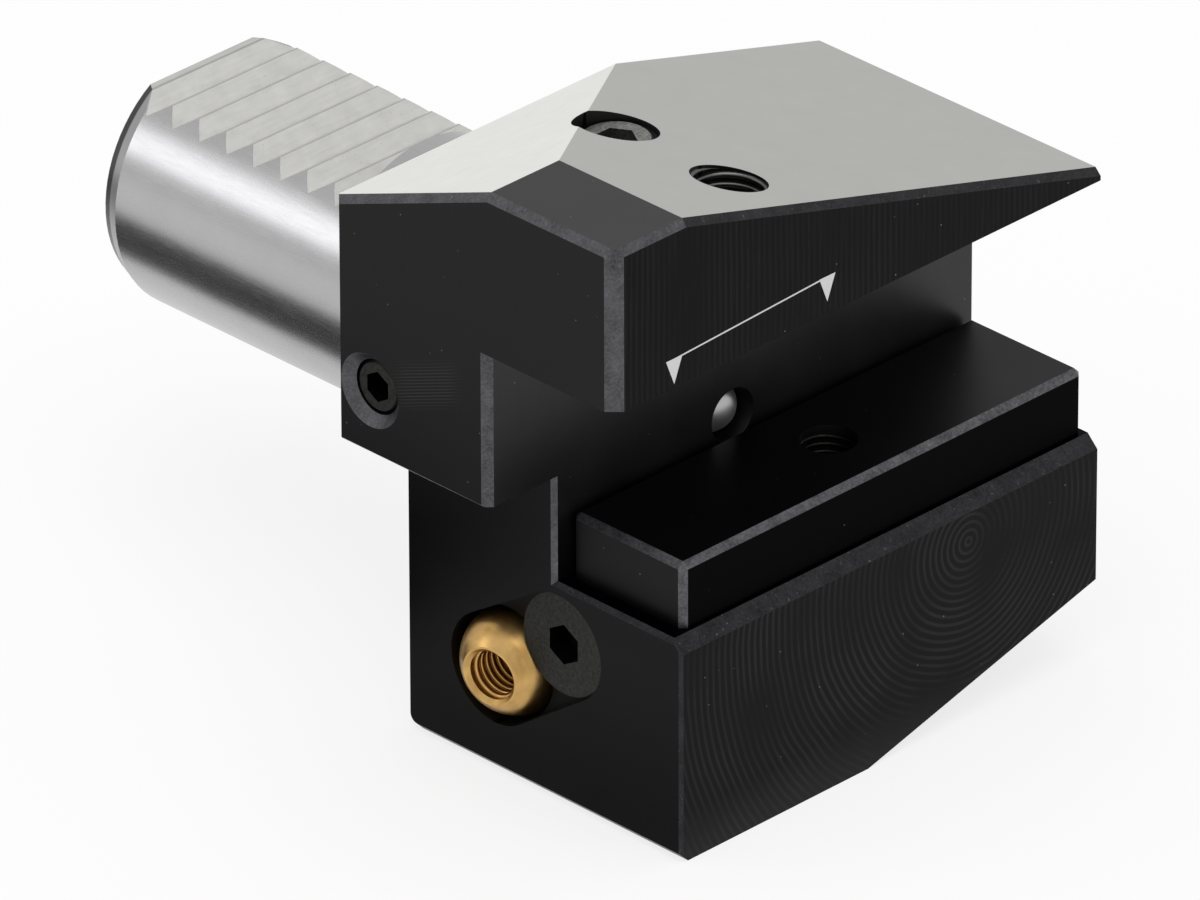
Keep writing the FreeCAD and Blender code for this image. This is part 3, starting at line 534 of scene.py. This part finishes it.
def block_part(centre, normal):
    """Which finish a face of the block takes, from its middle in millimetres and its outward direction."""
    x, y, z = centre
    along = [abs(part) > ALONG_AXIS for part in normal]
    if y > ON_PLANE:
        return shank_part(centre, normal)
    if normal.angle(TOP_NORMAL) < SAME_DIRECTION:
        return "ground_top"
    if normal.angle(BEVEL_NORMAL) < SAME_DIRECTION:
        return "back_bevel"
    if along[1] and normal.y > 0 and y > -ON_PLANE:
        return "mating_face"
    if along[1] and y < ON_PLANE - PROJECTION:
        return "overhang_front" if z > SEAT_HEIGHT else "lower_front"
    if along[2] and normal.z > 0 and z > TOP_HEIGHT - ON_PLANE:
        return "top_face"
    if along[1] and abs(y + SLOT_WALL) < ON_PLANE:
        return "slot_face"
    if along[2] and abs(z - LEDGE_HEIGHT) < ON_PLANE:
        return "ledge"
    if along[0] and normal.x < 0:
        return "left_face"
    if any(along) or normal.angle(BOTTOM_SLOPE_NORMAL) < SAME_DIRECTION:
        return "face"
    if is_outer_edge(x, y, z):
        at_front = y < BROKEN_EDGE - PROJECTION
        # Low edges and the front edges right of the ridge take the darker copy, as painted shade
        return "dark_edge" if z < LEDGE_HEIGHT + BROKEN_EDGE or at_front and x > RIDGE else "edge"
    return "bore"


def shank_part(centre, normal):
    """Which finish a face of the shank takes."""
    around = math.hypot(centre.x, centre.z)
    if around < SHANK_BORE:
        return "bore"
    if normal.y > ALONG_AXIS:
        return "mating_face"
    if around > SHANK_RADIUS - SHANK_TAPER:
        return "shank_end" if normal.y > TAPER_SLOPE else "shank"
    if centre.z > TOOTH_ROOT and normal.z > TOOTH_SLOPE:
        return "teeth"
    return "shank_break"


def is_outer_edge(x, y, z):
    """Whether a slanted face lies at the block's broken edges, and not in one of its holes."""
    back, front = BALL_POCKET_SPAN
    near_left = x < BROKEN_EDGE - HALF_WIDTH or abs(x - LOWER_LEFT) < BROKEN_EDGE
    near_front = y < BROKEN_EDGE - PROJECTION
    near_bottom = z < FLOOR_HEIGHT + BOTTOM_ROUND
    in_ball_pocket = near_left and z < BALL_POCKET_TOP and back < y < front
    in_valve_hole = math.hypot(y - VALVE[0], z - VALVE[1]) < VALVE_MOUTH and x > BROKEN_EDGE - HALF_WIDTH
    return not in_ball_pocket and not in_valve_hole and (near_left or near_front or near_bottom)


def paint_block(finishes):
    """Gives each face of the block its finish through the block's own material slots."""
    mesh = NODES["holder_body"].data
    parts = [block_part(face.center / MM, face.normal) for face in mesh.polygons]
    names = sorted(set(parts))
    mesh.materials.clear()
    for name in names:
        mesh.materials.append(finishes[name].material)
    for face, part in zip(mesh.polygons, parts):
        face.material_index = names.index(part)


def paint_bar():
    """The bar: dark faces with painted light on its top and painted shade on its front, lighter broken edges
    partly painted as a highlight, and its bored hole.
    """
    mesh = NODES["clamp_bar"].data
    mesh.materials.clear()
    names = ("bar_face", "bar_front", "bar_edge", "bored_steel")
    for name in names:
        mesh.materials.append(bpy.data.materials[name])
    for face in mesh.polygons:
        x, y, _ = face.center / MM
        in_hole = math.hypot(x - BAR_SCREW[0], y - BAR_SCREW[1]) < BAR_HOLE
        if in_hole:
            part = "bored_steel"
        elif max(abs(side) for side in face.normal) < BAR_FLAT:
            part = "bar_edge"
        else:
            part = "bar_front" if face.normal.y < -BAR_FLAT else "bar_face"
        face.material_index = names.index(part)


def paint_nodes(labels, name):
    """Gives whole pieces one finish, by the material's name."""
    for label in labels:
        mesh = NODES[label].data
        mesh.materials.clear()
        mesh.materials.append(bpy.data.materials[name])


# Threads

def activate(piece):
    bpy.ops.object.select_all(action="DESELECT")
    piece.select_set(True)
    bpy.context.view_layer.objects.active = piece


def thread(name, shape, pitch, placement, material, body):
    """A helical ridge on a hole's wall. It starts at the placement's origin and climbs along its Z axis."""
    radius, depth, length = shape
    bpy.ops.mesh.primitive_circle_add(vertices=4, radius=MM, location=(radius * MM, 0.0, 0.0),
                                      rotation=(math.pi / 2, 0.0, 0.0))
    ridge = bpy.context.object
    ridge.name = name
    ridge.scale = (depth, RIDGE_SHARE * pitch, 1.0)
    bpy.ops.object.transform_apply(location=True, rotation=True, scale=True)
    screw = ridge.modifiers.new("climb", "SCREW")
    screw.axis = "Z"
    screw.screw_offset = pitch * MM
    screw.iterations = round(length / pitch)
    screw.steps = THREAD_STEPS
    screw.render_steps = THREAD_STEPS
    bpy.ops.object.modifier_apply(modifier=screw.name)
    bpy.ops.object.mode_set(mode="EDIT")
    bpy.ops.mesh.select_all(action="SELECT")
    bpy.ops.mesh.remove_doubles(threshold=MERGE_DISTANCE)
    bpy.ops.mesh.select_all(action="SELECT")
    bpy.ops.mesh.fill_holes(sides=8)
    bpy.ops.mesh.normals_make_consistent(inside=False)
    bpy.ops.object.mode_set(mode="OBJECT")
    ridge.matrix_world = placement
    activate(ridge)
    bpy.ops.object.transform_apply(location=True, rotation=True, scale=True)
    ridge.data.materials.append(material)
    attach(ridge, body)
    return ridge


def cut_above(piece, point, normal):
    """Cuts away what lies on the normal's side of a plane, and closes the cut."""
    activate(piece)
    bpy.ops.object.mode_set(mode="EDIT")
    bpy.ops.mesh.select_all(action="SELECT")
    bpy.ops.mesh.bisect(plane_co=point, plane_no=normal, use_fill=True, clear_outer=True)
    bpy.ops.object.mode_set(mode="OBJECT")


def add_jet_thread(pitch):
    """The thread in the nozzle's mouth, on the ball's tilted axis."""
    out = Vector((-math.cos(BALL_TILT), -math.sin(BALL_TILT), 0.0))
    start = (Vector(BALL_CENTRE) + out * JET_THREAD_START) * MM
    turned = Vector((0.0, 0.0, 1.0)).rotation_difference(out).to_matrix().to_4x4()
    jet = thread("nozzle_jet_thread", JET_THREAD, pitch, Matrix.Translation(start) @ turned,
                 bpy.data.materials["brass_thread"], "nozzle")


def add_top_thread(finishes, pitch):
    """The thread in the overhang's front top hole, cut off below the slanted top."""
    hole = Matrix.Translation(Vector((*TOP_HOLE, TOP_THREAD_START)) * MM)
    top = thread("front_top_hole_thread", TOP_THREAD, pitch, hole, finishes["thread"].material, "holder")
    cut_above(top, Vector((RIDGE, 0.0, TOP_HEIGHT - TOP_THREAD_SINK)) * MM, TOP_NORMAL)


def add_bar_thread():
    """The thread in the bar's hole, above the retaining screw's tip."""
    hole = Matrix.Translation(Vector((*BAR_SCREW, BAR_THREAD_START)) * MM)
    bar = thread("bar_hole_thread", BAR_THREAD, BAR_THREAD_PITCH, hole, bpy.data.materials["black_oxide"],
                 "clamping_bar")


# The studio

# The camera's angles are degrees, its distance and offset millimetres
CAMERA_AZIMUTH = -44.957
CAMERA_ELEVATION = 28.977
CAMERA_ROLL = -0.159
CAMERA_FOCAL_PX = 18205.5
CAMERA_WIDTH_PX = 1200
CAMERA_SENSOR = 36.0
CAMERA_DISTANCE = 1863.33
CAMERA_OFFSET = (-2.096, 11.053)

FLOOR_SIZE = 12.0
FLOOR_WHITE_SHARE = 0.78
WORLD_LIGHT = 0.72
# The card beside the shank, in metres
FLAG_MIDDLE = (-0.0475, 0.12)
FLAG_SIZE = (0.047, 0.21)
# The lamps: direction, distance, size and tint
TOP_SOFTBOX = ((-0.1, -0.2, 1.0), 0.8, 0.7, (1.0, 1.0, 1.0))
SHANK_SOFTBOX = ((-0.68, 0.62, 0.39), 0.9, 0.28, (0.96, 0.95, 1.0))


def add_camera():
    azimuth, elevation, roll = (math.radians(a) for a in (CAMERA_AZIMUTH, CAMERA_ELEVATION, CAMERA_ROLL))
    back = Vector((math.sin(azimuth) * math.cos(elevation), -math.cos(azimuth) * math.cos(elevation),
                   math.sin(elevation)))
    level = Vector((math.cos(azimuth), math.sin(azimuth), 0.0))
    upright = back.cross(level)
    right = level * math.cos(roll) + upright * math.sin(roll)
    up = upright * math.cos(roll) - level * math.sin(roll)
    data = bpy.data.cameras.new("photo_camera")
    data.sensor_width = CAMERA_SENSOR
    data.lens = CAMERA_FOCAL_PX * CAMERA_SENSOR / CAMERA_WIDTH_PX
    data.clip_start = 0.1
    data.clip_end = 20.0
    camera = bpy.data.objects.new("photo_camera", data)
    where = (back * CAMERA_DISTANCE - right * CAMERA_OFFSET[0] - up * CAMERA_OFFSET[1]) * MM
    camera.matrix_world = Matrix.Translation(where) @ Matrix((right, up, back)).transposed().to_4x4()
    bpy.context.scene.collection.objects.link(camera)
    bpy.context.scene.camera = camera


def add_softbox(name, power, setup):
    """A square area light that faces the object from a direction."""
    direction, distance, size, tint = setup
    data = bpy.data.lights.new(name, "AREA")
    data.shape = "SQUARE"
    data.size = size
    data.energy = power
    data.color = tint
    lamp = bpy.data.objects.new(name, data)
    out = Vector(direction).normalized()
    lamp.location = out * distance
    lamp.rotation_euler = out.to_track_quat("Z", "Y").to_euler()
    bpy.context.scene.collection.objects.link(lamp)


def white_when_seen(tree, lit, seen, share):
    """Mixes two shaders: lit for light on the object, a share of seen for the camera, metal and glass."""
    path = tree.nodes.new("ShaderNodeLightPath")
    camera, glossy, through = (Signal(tree, path.outputs[f"Is {kind} Ray"]) for kind in
                               ("Camera", "Glossy", "Transmission"))
    mix = tree.nodes.new("ShaderNodeMixShader")
    plug(tree, mix.inputs["Fac"], (camera + glossy + through).clamped() * share)
    tree.links.new(lit, mix.inputs[1])
    tree.links.new(seen, mix.inputs[2])
    return mix.outputs[0]


def add_floor():
    """A floor that keeps the object's soft shadow, near white where the camera and metal see it."""
    bpy.ops.mesh.primitive_plane_add(size=FLOOR_SIZE, location=(0.0, 0.0, FLOOR_HEIGHT * MM))
    floor = bpy.context.object
    floor.name = "studio_floor"
    material = bpy.data.materials.new("floor_white")
    material.use_nodes = True
    tree = material.node_tree
    shader = tree.nodes["Principled BSDF"]
    shader.inputs["Base Color"].default_value = FLOOR_PAINT
    shader.inputs["Roughness"].default_value = 0.9
    shader.inputs["Specular IOR Level"].default_value = 0.0
    glow = tree.nodes.new("ShaderNodeEmission")
    glow.inputs["Strength"].default_value = 1.0
    surface = white_when_seen(tree, shader.outputs[0], glow.outputs[0], FLOOR_WHITE_SHARE)
    tree.links.new(surface, tree.nodes["Material Output"].inputs["Surface"])
    floor.data.materials.append(material)


def add_flag():
    """A dark card on the floor beside the shank, seen only in reflections, as studios shape metal."""
    bpy.ops.mesh.primitive_plane_add(size=1.0, location=(*FLAG_MIDDLE, (FLOOR_HEIGHT + 0.2) * MM))
    flag = bpy.context.object
    flag.name = "studio_flag"
    flag.scale = (*FLAG_SIZE, 1.0)
    material = bpy.data.materials.new("flag_black")
    material.use_nodes = True
    shader = material.node_tree.nodes["Principled BSDF"]
    shader.inputs["Base Color"].default_value = FLAG_PAINT
    shader.inputs["Specular IOR Level"].default_value = 0.0
    flag.data.materials.append(material)
    flag.visible_camera = False
    flag.visible_diffuse = False
    flag.visible_shadow = False


def add_world():
    world = bpy.data.worlds.new("studio")
    world.use_nodes = True
    tree = world.node_tree
    light = tree.nodes["Background"]
    light.inputs["Color"].default_value = (1.0, 1.0, 1.0, 1.0)
    light.inputs["Strength"].default_value = WORLD_LIGHT
    seen = tree.nodes.new("ShaderNodeBackground")
    seen.inputs["Strength"].default_value = 1.0
    surface = white_when_seen(tree, light.outputs[0], seen.outputs[0], 1.0)
    tree.links.new(surface, tree.nodes["World Output"].inputs["Surface"])
    bpy.context.scene.world = world


# Operators and panel

class HolderSettings(bpy.types.PropertyGroup):
    lamp_power: bpy.props.FloatProperty(
        name="Lamp power", description="Power of the studio's main lamp", default=2.4, min=0.0,
        unit="POWER")
    shank_lamp_power: bpy.props.FloatProperty(
        name="Shank lamp power", description="Power of the lamp that draws the highlight on the shank",
        default=0.46, min=0.0, unit="POWER")
    jet_pitch: bpy.props.FloatProperty(
        name="Jet thread pitch", description="Pitch of the thread in the nozzle", default=0.9 * MM,
        unit="LENGTH")
    top_hole_pitch: bpy.props.FloatProperty(
        name="Top hole pitch", description="Pitch of the thread in the overhang", default=1.1 * MM,
        unit="LENGTH")


class HOLDER_OT_block(bpy.types.Operator):
    """Gives the block, its shank and the thread in its top hole their finishes"""
    bl_idname = "holder.block"
    bl_label = "Finish the block"

    def execute(self, context):
        finishes = make_finishes()
        paint_block(finishes)
        add_top_thread(finishes, context.scene.holder_settings.top_hole_pitch / MM)
        return {"FINISHED"}


class HOLDER_OT_clamping(bpy.types.Operator):
    """Gives the clamping bar, its screws and its spring their finishes"""
    bl_idname = "holder.clamping"
    bl_label = "Finish the clamping"

    def execute(self, context):
        paint_bar()
        paint_nodes(("clamp_screw_left", "clamp_screw_right", "bar_retaining_screw"), "black_oxide")
        paint_nodes(("bar_screw_washer", "bar_spring"), "bright_steel")
        add_bar_thread()
        return {"FINISHED"}


class HOLDER_OT_nozzle(bpy.types.Operator):
    """Gives the brass ball its finish and its thread, and its screw a finish"""
    bl_idname = "holder.nozzle"
    bl_label = "Finish the nozzle"

    def execute(self, context):
        paint_nodes(("coolant_nozzle",), "turned_brass")
        paint_nodes(("nozzle_clamp_screw",), "black_oxide")
        add_jet_thread(context.scene.holder_settings.jet_pitch / MM)
        return {"FINISHED"}


class HOLDER_OT_plugs(bpy.types.Operator):
    """Gives the valve screw, the plugs and the seals their finishes"""
    bl_idname = "holder.plugs"
    bl_label = "Finish the plugs and seals"

    def execute(self, context):
        paint_nodes(("coolant_valve_screw", *PLUGS), "black_oxide")
        # The plugs in the top take the lighter copy, as painted light
        paint_nodes(("rear_top_plug", "front_top_plug"), "lit_top_oxide")
        paint_nodes(("wall_drilling_ball",), "bright_steel")
        paint_nodes([label for label in NODES if "seal" in label], "seal_rubber_finish")
        return {"FINISHED"}


class HOLDER_OT_studio(bpy.types.Operator):
    """Adds the floor, the lamps and the camera"""
    bl_idname = "holder.studio"
    bl_label = "Set up the studio"

    def execute(self, context):
        settings = context.scene.holder_settings
        add_world()
        add_floor()
        add_flag()
        add_softbox("top_softbox", settings.lamp_power, TOP_SOFTBOX)
        add_softbox("shank_softbox", settings.shank_lamp_power, SHANK_SOFTBOX)
        add_camera()
        return {"FINISHED"}


class HOLDER_PT_panel(bpy.types.Panel):
    bl_idname = "HOLDER_PT_panel"
    bl_label = "Radial tool holder"
    bl_space_type = "VIEW_3D"
    bl_region_type = "UI"
    bl_category = "Tool Holder"

    def draw(self, context):
        for field in HolderSettings.__annotations__:
            self.layout.prop(context.scene.holder_settings, field)
        for operator in OPERATORS:
            self.layout.operator(operator.bl_idname)


OPERATORS = (HOLDER_OT_block, HOLDER_OT_clamping, HOLDER_OT_nozzle, HOLDER_OT_plugs, HOLDER_OT_studio)
CLASSES = (HolderSettings, *OPERATORS, HOLDER_PT_panel)


def register():
    for cls in CLASSES:
        bpy.utils.register_class(cls)
    bpy.types.Scene.holder_settings = bpy.props.PointerProperty(type=HolderSettings)


def unregister():
    del bpy.types.Scene.holder_settings
    for cls in reversed(CLASSES):
        bpy.utils.unregister_class(cls)


def main():
    register()
    bpy.context.scene.view_settings.view_transform = "Standard"
    bpy.ops.holder.block()
    bpy.ops.holder.clamping()
    bpy.ops.holder.nozzle()
    bpy.ops.holder.plugs()
    bpy.ops.holder.studio()


if __name__ == "__main__":
    main()
